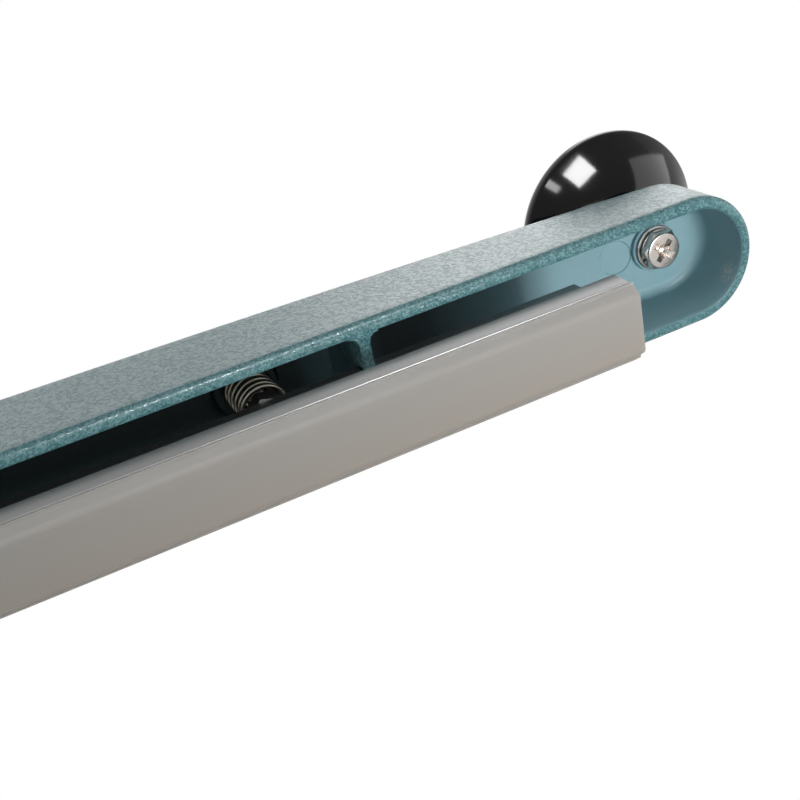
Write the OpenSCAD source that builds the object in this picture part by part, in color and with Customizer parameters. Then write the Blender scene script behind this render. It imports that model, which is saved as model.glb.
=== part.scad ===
// Upper press arm of a hand impulse sealer: a die-cast channel arm with a mushroom knob,
// carrying a sprung pressing bar that holds a silicone strip.
// Millimetres. The origin is the middle of the hinge bore, +X runs to the knob, +Z is up.

/* [Arm casting] */
// Width of the arm at its open rim
arm_w = 28; // [26:0.5:32]
// Hinge axis to the centre of the round end
hinge_to_end = 262; // [252:1:300]
// Height of the arm above its rim at the centre of the round end
end_h = 17.3; // [15.5:0.1:19]
// Height of the arched top above the rim, over the hinge
crest_h = 28.5; // [27:0.5:34]
// Wall thickness at the rim
wall_t = 2.5; // [1.8:0.1:2.8]
// Thickness of the web that closes the top
web_t = 2.2; // [1.8:0.1:2.8]
// Radius of the outer top edge
top_r = 2.0; // [1:0.1:3]
// Radius of the outer edge of the rim
rim_r = 1.0; // [0.5:0.1:1.2]
// Radius of the fillet between wall and web inside
fillet_r = 2.2; // [1.2:0.1:3]

/* [Hinge end] */
// Height of the hinge axis above the rim
hinge_up = 11; // [9:0.5:13]
// Diameter of the hinge pin
hinge_pin_d = 8; // [6:0.5:10]
// Radius of the rear ear around the hinge
ear_r = 11; // [9:0.5:12]

/* [Cross ribs] */
// Distance of each rib from the middle of the pressing bar
rib_offset = 54; // [50:1:62]
// Thickness of a rib
rib_t = 2.0; // [1.6:0.1:3]
// Radius where a rib meets the wall
rib_fillet = 1.8; // [1:0.1:2.5]

/* [Pressing bar] */
// Length of the pressing bar
bar_len = 210; // [200:1:220]
// Gap from the bar's front end to the centre of the round end
bar_front_gap = 25.5; // [25:0.5:32]
// Width of the bar holder
holder_w = 17.2; // [16:0.1:19]
// Height of the holder's side
holder_h = 5.1; // [4.8:0.1:7]
// Thickness of the holder's sides
holder_t = 1.2; // [1:0.1:1.5]
// How far the lips reach in over the strip
lip_in = 0.6; // [0.4:0.1:0.8]
// Distance from the arm's rim down to the holder's top, at rest
hang = 7.5; // [7:0.1:9]
// Width of the spine on top of the holder
spine_w = 8.0; // [7:0.1:9]
// Height of the spine
spine_h = 11.3; // [10.5:0.1:12]
// How far the bar is pushed up in use
travel = 4; // [2:0.5:4.5]

/* [Silicone strip] */
// How far the strip stands out of the lips
strip_proud = 2.4; // [1.5:0.1:3]
// Radius of the strip's shoulders
strip_r = 1.2; // [0.6:0.1:1.5]
// How far the strip stands out of the bar's front end
strip_over = 0.8; // [0:0.1:1.5]

/* [Springs and guide screws] */
// Distance between the two guide screws
guide_pitch = 68; // [60:1:76]
// Thread diameter of every screw
thread_d = 4.9; // [4.7:0.1:5]
// Radial clearance of a guide screw in the arm
guide_gap = 0.25; // [0.15:0.05:0.4]
// Outer diameter of a spring
spring_d = 10.2; // [9.8:0.1:11]
// Wire diameter of a spring
wire_d = 1.0; // [0.8:0.1:1.2]
// Number of open turns of a spring
open_turns = 5; // [4:1:6]
// Height of the spring seats in the arm above the rim
seat_z = 20.0; // [19.5:0.1:20.5]
// Thickness of the floor under a guide screw's head
floor_t = 2.4; // [2:0.1:2.6]

/* [Knob] */
// Diameter of the knob over its brim
knob_d = 44.6; // [40:0.2:50]
// Height of the knob
knob_h = 24; // [22:0.5:30]
// Height of the brim above the knob's foot
brim_up = 13.5; // [12:0.1:16]
// Diameter of the knob's foot
foot_d = 17; // [15:0.5:20]
// Knob axis to the centre of the round end
knob_back = 1.0; // [0:0.1:4]

/* [Fasteners] */
// Width across flats of the hexagons
hex_af = 8.0; // [7.8:0.1:8.4]
// Thickness of a nut
nut_h = 4.0; // [3:0.1:4.5]
// Height of the knob screw's head
hex_h = 2.0; // [1.8:0.1:3.5]
// Outer diameter of a flat washer
washer_d = 10.0; // [9:0.1:11]
// Thickness of a flat washer
washer_t = 0.8; // [0.6:0.1:1.2]
// Outer diameter of the lock washer
lock_d = 8.8; // [8.2:0.1:9.2]
// Thickness of the lock washer
lock_t = 0.8; // [0.7:0.1:1.3]
// Diameter of a guide screw's pan head
pan_d = 9.2; // [8.5:0.1:9.5]
// Height of a guide screw's pan head
pan_h = 3.2; // [2.5:0.1:3.6]

/* [Hidden] */
$fn = 64;
eps = 0.01;
arch_fn = 1440;
edge_lap = 0.12;

rim_z = -hinge_up;
arm_r = arm_w / 2;
in_r = arm_r - wall_t;
crest_drop = crest_h - end_h;
crest_r = (hinge_to_end * hinge_to_end + crest_drop * crest_drop) / (2 * crest_drop);
end_slope = asin(hinge_to_end / crest_r);
hinge_gap = 0.05;
rear_r = 10;

bar_x1 = hinge_to_end - bar_front_gap;
bar_x0 = bar_x1 - bar_len;
bar_mid = (bar_x0 + bar_x1) / 2;
guide_x = [bar_mid + guide_pitch / 2, bar_mid - guide_pitch / 2];
rib_x = [bar_mid + rib_offset, bar_mid - rib_offset];
holder_z = -hang - holder_h;
spine_z = spine_h - hang;
rib_gap = 0.35;
rib_lap = 0.08;
notch_w = spine_w + 2 * rib_gap;
notch_z = spine_z + travel + 1;
notch_r = 1;

spine_wall = 1.3;
spine_top = 4.2;
strip_gap = 0.05;
strip_base_h = holder_h - holder_t;
strip_base_w = holder_w - 2 * holder_t - 2 * strip_gap;
strip_face_w = holder_w - 2 * (holder_t + lip_in) - 2 * strip_gap;

guide_bore = thread_d + 2 * guide_gap;
head_floor = seat_z + floor_t;
pocket_d = washer_d + 0.8;
boss_d = pocket_d + 2.8;
guide_end = spine_z - spine_top - 1.5;
nut_top = spine_z + nut_h;
spring_gap = 0.03;

knob_x = hinge_to_end - knob_back;
pad_d = foot_d + 1;
pad_z = end_h + 1.4;
inner_pad_d = washer_d + 1;
inner_pad_z = end_h - web_t - 0.6;
knob_bore = thread_d + 0.5;
insert_d = 8;
insert_h = 14;
screw_reach = 11;
mark_d = 7.3;
mark_back = 10.4;
mark_t = 0.2;

// Height of the arched top above the rim at a place along the arm
function top_z(x) = crest_h - crest_r + sqrt(crest_r * crest_r - x * x);

module at_rim() { translate([0, 0, rim_z]) children(); }

// Outline of the arm seen from above: straight sides and a half-round end
module plan(r) {
    translate([-2 * ear_r, -r]) square([hinge_to_end + 2 * ear_r, 2 * r]);
    translate([hinge_to_end, 0]) circle(r, $fn = 128);
}

// Square corner less its round, for cutting an edge round
module corner_waste(r) {
    difference() {
        translate([-eps, -eps]) square(r + eps);
        translate([r, r]) circle(r);
    }
}

// Frame at the far centre of the arch, with z towards the crown of the front end
module arch_frame() {
    translate([0, 0, crest_h - crest_r]) rotate([0, end_slope, 0]) children();
}

// Section across an arched bar with two round upper corners, its top at y = 0
module arched_section(w, corner) {
    translate([-w / 2 + corner, -2 * crest_h]) square([w - 2 * corner, 2 * crest_h]);
    translate([-w / 2, -2 * crest_h]) square([w, 2 * crest_h - corner]);
    for (s = [-1, 1]) translate([s * (w / 2 - corner), -corner]) circle(corner);
}

// Arched bar with its upper edges rounded all the way round the front end
module arched(w, drop, corner) {
    back = end_slope + asin(2 * ear_r / crest_r);
    arch_frame() {
        rotate([90, 0, 0]) rotate(90) rotate_extrude(angle = back, $fn = arch_fn)
            translate([crest_r - drop, 0]) rotate(-90) arched_section(w, corner);
        translate([0, 0, crest_r - drop]) rotate([0, 0, -90]) rotate_extrude(angle = 180, $fn = 128)
            difference() {
                union() {
                    arched_section(w, corner);
                    polygon([[0, -corner], [w / 2, -corner], [w / 2 + crest_h / 3, -crest_h], [0, -crest_h]]);
                }
                translate([-2 * w, -3 * crest_h]) square([2 * w, 4 * crest_h]);
                translate([-w, -3 * crest_h]) square([3 * w, 2 * crest_h]);
            }
    }
}

// Solid form of the arm, or of its hollow, from z0 up to the arched top less drop
module arm_form(r, z0, drop, corner) {
    intersection() {
        translate([0, 0, z0]) linear_extrude(2 * crest_h) plan(r);
        arched(2 * (r + edge_lap), drop, corner);
    }
}

// What is cut away to round the outer edge of the rim
module rim_round() {
    for (s = [0, 1]) mirror([0, s, 0]) translate([-2 * ear_r, -arm_r, 0]) rotate([90, 0, 90])
        linear_extrude(hinge_to_end + 2 * ear_r) corner_waste(rim_r);
    translate([hinge_to_end, 0, 0]) rotate([0, 0, -90]) rotate_extrude(angle = 180, $fn = 128)
        translate([arm_r, 0]) mirror([1, 0]) corner_waste(rim_r);
}

// Side view of the arm: the ear is round about the hinge, and the top's rear corner is rounded
module side_view() {
    rotate([90, 0, 0]) linear_extrude(arm_w + 2, center = true) {
        translate([0, hinge_up]) circle(ear_r, $fn = 96);
        translate([0, -1]) square([hinge_to_end + arm_w, crest_h + 2]);
        translate([-ear_r, hinge_up]) square([ear_r + 1, crest_h - rear_r - hinge_up]);
        translate([rear_r - ear_r, crest_h - rear_r]) circle(rear_r, $fn = 96);
    }
}

// Boss for a spring and a guide screw, hanging from the web down to the spring's seat
module spring_boss(x) {
    translate([x, 0, seat_z]) cylinder(h = top_z(x) - web_t / 2 - seat_z, d = boss_d);
}

// Pocket for a guide screw's head, and the hole for its shank
module guide_holes(x) {
    translate([x, 0, head_floor]) cylinder(h = crest_h, d = pocket_d);
    translate([x, 0, seat_z - 1]) cylinder(h = crest_h, d = guide_bore);
}

// Cross rib with a notch that lets the bar's spine pass, and fillets at the walls
module rib(x) {
    difference() {
        union() {
            translate([x - rib_t / 2, -in_r - wall_t / 2, 0])
                cube([rib_t, 2 * in_r + wall_t, top_z(x) - web_t / 2]);
            for (a = [0, 180]) translate([x, 0, 0]) rotate(a) rib_corners(top_z(x) - web_t / 2);
        }
        translate([x, 0, 0]) rotate([90, 0, 90]) linear_extrude(4 * rib_t, center = true) {
            translate([-notch_w / 2, -1]) square([notch_w, notch_z - notch_r + 1]);
            translate([-notch_w / 2 + notch_r, 0]) square([notch_w - 2 * notch_r, notch_z]);
            for (s = [-1, 1]) translate([s * (notch_w / 2 - notch_r), notch_z - notch_r]) circle(notch_r);
        }
    }
}

// The two fillets between a rib and one wall; they run a little way into the wall, so that no
// surfaces only touch
module rib_corners(h) {
    reach = rib_t / 2 + rib_fillet;
    linear_extrude(h) difference() {
        translate([-reach, in_r + rib_lap - rib_fillet]) square([2 * reach, rib_fillet + wall_t / 2]);
        for (s = [-1, 1]) translate([s * reach, in_r + rib_lap - rib_fillet]) circle(rib_fillet);
    }
}

module arm_casting() {
    color("#8fa5ab") at_rim() difference() {
        intersection() {
            union() {
                difference() {
                    arm_form(arm_r, 0, 0, top_r);
                    arm_form(in_r, -1, web_t, fillet_r);
                }
                for (x = guide_x) spring_boss(x);
                for (x = rib_x) rib(x);
                translate([knob_x, 0, inner_pad_z]) cylinder(h = 2, d = inner_pad_d);
                translate([knob_x, 0, pad_z - 2.6]) cylinder(h = 2.6, d = pad_d);
            }
            side_view();
        }
        rim_round();
        for (x = guide_x) guide_holes(x);
        translate([knob_x, 0, 0]) cylinder(h = crest_h, d = knob_bore);
        translate([0, 0, hinge_up]) rotate([90, 0, 0])
            cylinder(h = 2 * arm_w, d = hinge_pin_d + 2 * hinge_gap, center = true);
        translate([hinge_to_end - mark_back, 0, top_z(hinge_to_end - mark_back) - web_t])
            rotate([0, end_slope, 0]) cylinder(h = 2 * mark_t, d = mark_d, center = true);
    }
}

// Half outline of the knob, from the foot's edge round the brim to the crown
module knob_outline() {
    brim_r = knob_d / 2;
    neck_r = foot_d / 2 - 0.8;
    difference() {
        union() {
            square([neck_r, brim_up]);
            square([foot_d / 2, 1.6]);
            intersection() {
                square([brim_r, knob_h]);
                translate([0, brim_up]) scale([1, (knob_h - brim_up) / brim_r]) circle(brim_r, $fn = 128);
            }
            polygon([
                [0, 3.5],
                [neck_r, 3.5],
                for (a = [0 : 15 : 90])
                    [neck_r + (brim_r - neck_r) * sin(a), 4 + (brim_up - 4) * (1 - cos(a))],
                [0, brim_up + 1]]);
        }
        translate([-1, -1]) square([1, knob_h + 2]);
    }
}

module knob() {
    color("#141416") at_rim() translate([knob_x, 0, pad_z]) difference() {
        rotate_extrude($fn = 96) knob_outline();
        translate([0, 0, -1]) cylinder(h = insert_h + 1, d = insert_d);
    }
}

module knob_insert() {
    color("#b08d4a") at_rim() translate([knob_x, 0, pad_z]) difference() {
        cylinder(h = insert_h, d = insert_d);
        translate([0, 0, -1]) cylinder(h = screw_reach + 2, d = thread_d);
    }
}

// Hexagonal head with its face turned down to a circle
module hex_head(h) {
    intersection() {
        cylinder(h = h, d = hex_af / cos(30), $fn = 6);
        union() {
            cylinder(h = 0.4, d1 = hex_af - 0.1, d2 = hex_af / cos(30));
            translate([0, 0, 0.4 - eps]) cylinder(h = h, d = hex_af / cos(30) + 0.1);
        }
    }
}

// Cross recess, cut down into a face at z = 0
module cross_recess(size, depth) {
    for (a = [0, 90]) rotate(a) translate([-size / 2, -0.55, -1]) cube([size, 1.1, depth + 1]);
    translate([0, 0, -1]) cylinder(h = depth + 1, d = size / 2);
}

module knob_screw() {
    head_z = inner_pad_z - washer_t - lock_t - hex_h;
    color("#c9c3b8") at_rim() translate([knob_x, 0, head_z]) difference() {
        union() {
            hex_head(hex_h);
            cylinder(h = pad_z + screw_reach - head_z, d = thread_d);
        }
        cross_recess(4.4, 1.3);
    }
}

module knob_lock_washer() {
    color("#9fa3a6") at_rim() translate([knob_x, 0, inner_pad_z - washer_t - lock_t]) difference() {
        cylinder(h = lock_t, d = lock_d);
        translate([0, 0, -1]) cylinder(h = lock_t + 2, d = thread_d + 0.3);
        rotate([20, 0, 25]) translate([0, -0.35, -5]) cube([lock_d, 0.7, 10]);
    }
}

// Flat washer with its lower face at z = 0
module flat_washer() {
    difference() {
        cylinder(h = washer_t, d = washer_d);
        translate([0, 0, -1]) cylinder(h = washer_t + 2, d = thread_d + 0.4);
    }
}

module knob_flat_washer() {
    color("#a9adb0") at_rim() translate([knob_x, 0, inner_pad_z - washer_t]) flat_washer();
}

// Extruded section of the holder: a shallow channel with lips, and a hollow spine above it
module holder_section() {
    mouth = holder_w / 2 - holder_t - lip_in;
    difference() {
        union() {
            translate([-holder_w / 2, holder_z]) square([holder_w, holder_h]);
            translate([-spine_w / 2, -hang - eps]) square([spine_w, spine_h + eps]);
        }
        translate([-holder_w / 2 + holder_t, holder_z + lip_in])
            square([holder_w - 2 * holder_t, holder_h - holder_t - lip_in]);
        translate([-mouth, holder_z - 1]) square([2 * mouth, 2]);
        translate([-spine_w / 2 + spine_wall, -hang + spine_wall])
            square([spine_w - 2 * spine_wall, spine_h - spine_wall - spine_top]);
    }
}

module bar_holder() {
    color("#a8a8a6") at_rim() difference() {
        translate([bar_x0, 0, 0]) rotate([90, 0, 90]) linear_extrude(bar_len) holder_section();
        for (x = guide_x) translate([x, 0, spine_z - spine_top - 1])
            cylinder(h = spine_top + 2, d = thread_d);
    }
}

// Section of the strip: a base that the lips hold, and a face with round shoulders
module strip_section() {
    face_z = holder_z - strip_proud;
    translate([-strip_base_w / 2, holder_z + lip_in + strip_gap])
        square([strip_base_w, strip_base_h - lip_in - 2 * strip_gap]);
    translate([-strip_face_w / 2, face_z + strip_r])
        square([strip_face_w, strip_base_h + strip_proud - strip_r - 1]);
    translate([-strip_face_w / 2 + strip_r, face_z])
        square([strip_face_w - 2 * strip_r, strip_base_h]);
    for (s = [-1, 1]) translate([s * (strip_face_w / 2 - strip_r), face_z + strip_r]) circle(strip_r);
}

module silicone_strip() {
    color("#b5b0a6") at_rim() translate([bar_x0, 0, 0])
        rotate([90, 0, 90]) linear_extrude(bar_len + strip_over) strip_section();
}

// Guide screw: pan head above the arm's floor, shank down through the spring into the spine
module guide_screw(x) {
    head_z = head_floor + washer_t;
    color("#c2c2c0") at_rim() translate([x, 0, 0]) difference() {
        union() {
            translate([0, 0, head_z]) cylinder(h = pan_h - 0.8, d = pan_d);
            translate([0, 0, head_z + pan_h - 0.8 - eps]) cylinder(h = 0.8, d1 = pan_d, d2 = pan_d - 2.4);
            translate([0, 0, guide_end]) cylinder(h = head_z - guide_end + eps, d = thread_d);
        }
        translate([0, 0, head_z + pan_h]) mirror([0, 0, 1]) cross_recess(4.8, 1.6);
    }
}

module guide_washer(x) {
    color("#a9adb0") at_rim() translate([x, 0, head_floor]) flat_washer();
}

module spring_nut(x) {
    color("#8d9093") at_rim() translate([x, 0, spine_z]) difference() {
        cylinder(h = nut_h, d = hex_af / cos(30), $fn = 6);
        translate([0, 0, -1]) cylinder(h = nut_h + 2, d = thread_d);
    }
}

// Compression spring between a nut and a seat, with one closed turn at each end
module spring(x) {
    steps = 20;
    sides = 8;
    turns = open_turns + 2;
    low = nut_top + spring_gap + wire_d / 2;
    rise = seat_z - spring_gap - wire_d / 2 - low;
    pitch = (rise - 2 * wire_d) / open_turns;
    coil_r = (spring_d - wire_d) / 2;
    function climb(t) = t < 1 ? wire_d * t
        : t < turns - 1 ? wire_d + pitch * (t - 1)
        : rise - wire_d * (turns - t);
    n = turns * steps;
    points = [
        for (i = [0 : n]) for (j = [0 : sides - 1])
            let (t = i / steps, a = 360 * t, b = 360 * j / sides, r = coil_r + wire_d / 2 * cos(b))
            [r * cos(a), r * sin(a), low + climb(t) + wire_d / 2 * sin(b)]];
    skin = [
        for (i = [0 : n - 1]) for (j = [0 : sides - 1])
            let (a = i * sides + j, b = i * sides + (j + 1) % sides)
            each [[a, b, a + sides], [b, b + sides, a + sides]]];
    ends = [[for (j = [sides - 1 : -1 : 0]) j], [for (j = [0 : sides - 1]) n * sides + j]];
    color("#b9b09e") at_rim() translate([x, 0, 0]) polyhedron(points, concat(skin, ends), convexity = 12);
}

module guide_screw_front() { guide_screw(guide_x[0]); }
module guide_screw_rear() { guide_screw(guide_x[1]); }
module guide_washer_front() { guide_washer(guide_x[0]); }
module guide_washer_rear() { guide_washer(guide_x[1]); }
module spring_front() { spring(guide_x[0]); }
module spring_rear() { spring(guide_x[1]); }
module spring_nut_front() { spring_nut(guide_x[0]); }
module spring_nut_rear() { spring_nut(guide_x[1]); }

arm_casting();
knob();
knob_insert();
knob_screw();
knob_lock_washer();
knob_flat_washer();
bar_holder();
silicone_strip();
guide_screw_front();
guide_screw_rear();
guide_washer_front();
guide_washer_rear();
spring_front();
spring_rear();
spring_nut_front();
spring_nut_rear();
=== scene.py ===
# %% [markdown]
# # The press arm of a hand impulse sealer
# On the machine this arm swings down over a heated wire. It is a thin casting, open below like
# a gutter, with a mushroom knob at the front end. A sprung aluminium bar with a strip of
# silicone hangs under it and evens out the pressure. The photograph looks up at it from below.
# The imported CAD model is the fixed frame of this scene, so it is loaded before anything is made.

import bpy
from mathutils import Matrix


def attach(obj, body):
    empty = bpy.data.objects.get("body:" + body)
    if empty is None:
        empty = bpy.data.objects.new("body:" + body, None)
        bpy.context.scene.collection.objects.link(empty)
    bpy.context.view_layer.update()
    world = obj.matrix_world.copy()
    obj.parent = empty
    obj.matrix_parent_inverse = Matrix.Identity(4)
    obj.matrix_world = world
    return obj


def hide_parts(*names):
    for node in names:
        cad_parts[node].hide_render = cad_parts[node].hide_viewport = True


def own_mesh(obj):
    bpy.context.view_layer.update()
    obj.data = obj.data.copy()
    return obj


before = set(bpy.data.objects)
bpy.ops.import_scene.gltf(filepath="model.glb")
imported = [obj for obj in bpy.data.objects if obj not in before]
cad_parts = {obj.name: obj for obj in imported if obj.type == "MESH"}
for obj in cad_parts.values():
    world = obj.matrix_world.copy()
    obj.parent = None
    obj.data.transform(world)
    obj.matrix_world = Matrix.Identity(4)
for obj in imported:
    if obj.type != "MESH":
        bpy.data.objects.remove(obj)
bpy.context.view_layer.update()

# %% Modules and the measures that the pieces share, in millimetres
import math

import bmesh
import bpy
import numpy as np
from mathutils import Matrix, Vector

MM = 0.001
RIM_Z = -11.0       # the arm's open rim, in the frame of the hinge bore
END_X = 262.0       # centre of the round front end
ARM_R = 14.0        # half width of the arm
CREST = 28.5        # height of the arched top over the hinge, above the rim
END_TOP = 17.3      # the same at the centre of the round end
ARCH_R = (END_X ** 2 + (CREST - END_TOP) ** 2) / (2 * (CREST - END_TOP))
BAR_X = (26.5, 236.5)       # the two ends of the bar
GUIDE_X = (165.5, 97.5)     # the guide screws, front and rear
RIB_X = (185.5, 77.5)
KNOB_X = 261.0
PAD_Z = 18.7        # the knob's seat on top of the arm
SCREW_PAD_Z = 14.5  # the seat of the knob's screw, under the web
SPRING_SEAT = 20.0  # the face that a spring presses on
POCKET_Z = 22.4     # floor of the pocket for a guide screw's head
HOLE_R = 2.7        # clear hole for a 5 mm screw
HEX = 8.0           # across the flats of the hexagons


def top_z(x):
    """Height of the arched top above the rim."""
    return CREST - ARCH_R + np.sqrt(ARCH_R ** 2 - np.asarray(x, float) ** 2)


print("arch radius", round(ARCH_R), "mm")
print("top over the middle of the bar", round(float(top_z(sum(BAR_X) / 2)), 2), "mm above the rim")

# %% [markdown]
# ## A mesh from lists of points
# Most pieces here come from one of three forms: a grid of points that follows a path, a profile
# turned about an axis, or a section drawn out along the arm. Blender's own primitives and bevels
# could make them too, but worked out point by point, the points fall where the form bends and
# the faces stay even. Smooth shading with sharp edges above an angle then shows round faces as
# round and cut edges as cut.

# %% Points and faces to an object
def piece(name, points, faces, angle=35):
    """Makes a mesh object from points in millimetres above the rim."""
    mesh = bpy.data.meshes.new(name)
    points = np.asarray(points, float) * MM
    points[:, 2] += RIM_Z * MM
    mesh.from_pydata(points.tolist(), [], faces)
    thing = bpy.data.objects.new(name, mesh)
    bpy.context.scene.collection.objects.link(thing)
    return tidy(thing, angle)


def tidy(thing, angle=35):
    """Joins doubled points, turns every face outwards and shades the mesh smooth."""
    work = bmesh.new()
    work.from_mesh(thing.data)
    bmesh.ops.remove_doubles(work, verts=work.verts, dist=2e-7)
    bmesh.ops.dissolve_degenerate(work, edges=work.edges, dist=1e-7)
    bmesh.ops.recalc_face_normals(work, faces=work.faces)
    work.to_mesh(thing.data)
    work.free()
    thing.data.shade_smooth()
    thing.data.set_sharp_from_angle(angle=math.radians(angle))
    return thing


def grid_faces(rows, cols, wrap=False, start=0):
    """Quads over a grid of points, with the last column joined to the first if wrap is set."""
    last = cols if wrap else cols - 1
    return [[start + r * cols + c, start + r * cols + (c + 1) % cols,
             start + (r + 1) * cols + (c + 1) % cols, start + (r + 1) * cols + c]
            for r in range(rows - 1) for c in range(last)]


# %% A profile turned about an upright axis
def turned(name, profile, x=0.0, steps=96, angle=35):
    """profile is a list of (radius, height); a radius of 0 closes the form on its axis."""
    turn = np.linspace(0, 2 * math.pi, steps, endpoint=False)
    points = [(x + r * math.cos(a), r * math.sin(a), z) for r, z in profile for a in turn]
    faces = grid_faces(len(profile), steps, wrap=True)
    if profile[0] == profile[-1]:
        return piece(name, points, faces, angle)
    for ring in (0, len(profile) - 1):
        if profile[ring][0] > 0:
            faces.append([ring * steps + c for c in range(steps)])
    return piece(name, points, faces, angle)


def arc(cx, cy, r, start, end, steps=6):
    """Points of an arc, with its angles in degrees."""
    return [(cx + r * math.cos(math.radians(a)), cy + r * math.sin(math.radians(a)))
            for a in np.linspace(start, end, steps + 1)]


def rounded(corners, radii, steps=4):
    """A closed outline whose corners are rounded; a radius of 0 leaves a corner sharp."""
    out, n = [], len(corners)
    for i, (corner, r) in enumerate(zip(corners, radii)):
        p = Vector(corner)
        a, b = Vector(corners[i - 1]) - p, Vector(corners[(i + 1) % n]) - p
        if r == 0:
            out.append(tuple(p))
            continue
        half = a.angle(b) / 2
        cut = min(r / math.tan(half), 0.49 * a.length, 0.49 * b.length)
        p0, p1 = p + a.normalized() * cut, p + b.normalized() * cut
        for t in np.linspace(0, 1, steps + 1):
            out.append(tuple((1 - t) ** 2 * p0 + 2 * t * (1 - t) * p + t * t * p1))
    return out


# %% A section drawn out along the arm
def drawn(name, loops, x0, x1, stations=2, angle=30):
    """loops are closed outlines in (y, z); the first is the outside and the rest are hollows."""
    work = bmesh.new()
    rings = []
    for x in np.linspace(x0, x1, stations):
        rings.append([[work.verts.new((x * MM, y * MM, (z + RIM_Z) * MM)) for y, z in loop]
                      for loop in loops])
    for a, b in zip(rings, rings[1:]):
        for la, lb in zip(a, b):
            for i in range(len(la)):
                j = (i + 1) % len(la)
                work.faces.new((la[i], la[j], lb[j], lb[i]))
    for ring in (rings[0], rings[-1]):
        edges = [work.edges.get((loop[i], loop[(i + 1) % len(loop)]))
                 for loop in ring for i in range(len(loop))]
        bmesh.ops.triangle_fill(work, edges=edges, use_beauty=True, use_dissolve=False)
    mesh = bpy.data.meshes.new(name)
    work.to_mesh(mesh)
    work.free()
    thing = bpy.data.objects.new(name, mesh)
    bpy.context.scene.collection.objects.link(thing)
    return tidy(thing, angle)


# %% Cutting and joining solids
def carve(thing, tools, operation="DIFFERENCE", angle=35):
    """Cuts the tools out of a piece, or joins them to it, and keeps only the result."""
    for tool in tools:
        step = thing.modifiers.new("carve", "BOOLEAN")
        step.operation, step.solver, step.object = operation, "EXACT", tool
    ready = thing.evaluated_get(bpy.context.evaluated_depsgraph_get())
    mesh = bpy.data.meshes.new_from_object(ready)
    thing.modifiers.clear()
    thing.data = mesh
    for tool in tools:
        bpy.data.objects.remove(tool)
    return tidy(thing, angle)


def fit(thing, body, nodes, finish):
    """Seats a finished piece: it rides on a body and stands for CAD nodes."""
    thing.data.materials.clear()
    thing.data.materials.append(finish)
    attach(thing, body)
    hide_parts(*nodes)
    print(f"{thing.name}: {len(thing.data.polygons)} faces, rides on {body}")


# %% [markdown]
# ## Writing a finish as arithmetic
# A finish is a small graph of shader nodes. Built by hand in the editor it is quick to wire and
# slow to read, so here each socket is wrapped in a class whose operators add the Math nodes.
# 1 - mask then reads as it would on paper. Every other node comes from one method.

# %% A socket that can be used in an expression
class Level:
    """One value output of a finish's graph."""

    def __init__(self, finish, socket):
        self.finish, self.socket = finish, socket

    def _math(self, operation, *values):
        made = self.finish.node("ShaderNodeMath", {"operation": operation}, dict(enumerate(values)))
        return made["Value"]

    def __add__(self, other):
        return self._math("ADD", self, other)

    def __sub__(self, other):
        return self._math("SUBTRACT", self, other)

    def __rsub__(self, other):
        return self._math("SUBTRACT", other, self)

    def __mul__(self, other):
        return self._math("MULTIPLY", self, other)

    def max(self, other):
        return self._math("MAXIMUM", self, other)

    def between(self, low, high):
        """0 below low, 1 above high, and a smooth step from one to the other."""
        made = self.finish.node("ShaderNodeMapRange", {"interpolation_type": "SMOOTHSTEP"},
                                {"Value": self, "From Min": low, "From Max": high})
        return made["Result"]

    __radd__, __rmul__ = __add__, __mul__


# %% A finish and its one way to add a node
class Made:
    """A node of a graph, whose outputs are reached by name or number."""

    def __init__(self, finish, node):
        self.finish, self.made = finish, node

    def __getitem__(self, key):
        return Level(self.finish, self.made.outputs[key])


class Finish:
    """A material, or another node tree, with a method that adds any node."""

    def __init__(self, name, tree=None):
        if tree is None:
            self.material = bpy.data.materials.new(name)
            self.material.use_nodes = True
            tree = self.material.node_tree
        self.tree = tree
        tree.nodes.clear()

    def node(self, kind, settings=None, sockets=None):
        """Adds a node of a kind; settings are set first, then values or links of its sockets."""
        made = self.tree.nodes.new(kind)
        for key, value in (settings or {}).items():
            setattr(made, key, value)
        for key, value in (sockets or {}).items():
            if isinstance(value, Level):
                self.tree.links.new(value.socket, made.inputs[key])
            else:
                made.inputs[key].default_value = value
        return Made(self, made)

    def place(self):
        """Where a point is, in millimetres."""
        at = self.node("ShaderNodeTexCoord")["Object"]
        made = self.node("ShaderNodeVectorMath", {"operation": "SCALE"}, {0: at, "Scale": 1 / MM})
        return made["Vector"]

    def value_of_mesh(self, name):
        """A number that the mesh carries at every point."""
        return self.node("ShaderNodeAttribute", {"attribute_name": name})["Fac"]

    def noise(self, at, scale, detail=2.0, rough=0.5):
        made = self.node("ShaderNodeTexNoise", {}, {"Vector": at, "Scale": scale, "Detail": detail,
                                                    "Roughness": rough})
        return made["Fac"]

    def blend(self, factor, a, b):
        """Colour a where factor is 0 and colour b where it is 1."""
        a, b = (v if isinstance(v, Level) else (*v, 1) for v in (a, b))
        return self.node("ShaderNodeMix", {"data_type": "RGBA"}, {0: factor, 6: a, 7: b})[2]

    def bump(self, height, depth, strength=1.0):
        """A normal that is tilted as if the surface rose by depth millimetres times height."""
        made = self.node("ShaderNodeBump", {}, {"Height": height, "Distance": depth * MM,
                                                "Strength": strength})
        return made["Normal"]

    def surface(self, **sockets):
        """Ends the graph in a Principled shader; a name's underscores stand for spaces."""
        named = {key.replace("_", " "): value for key, value in sockets.items()}
        shader = self.node("ShaderNodeBsdfPrincipled", {}, named)
        self.node("ShaderNodeOutputMaterial", {}, {"Surface": shader["BSDF"]})
        print(f"finish {self.material.name}: {len(self.tree.nodes)} nodes")
        return self.material


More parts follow.
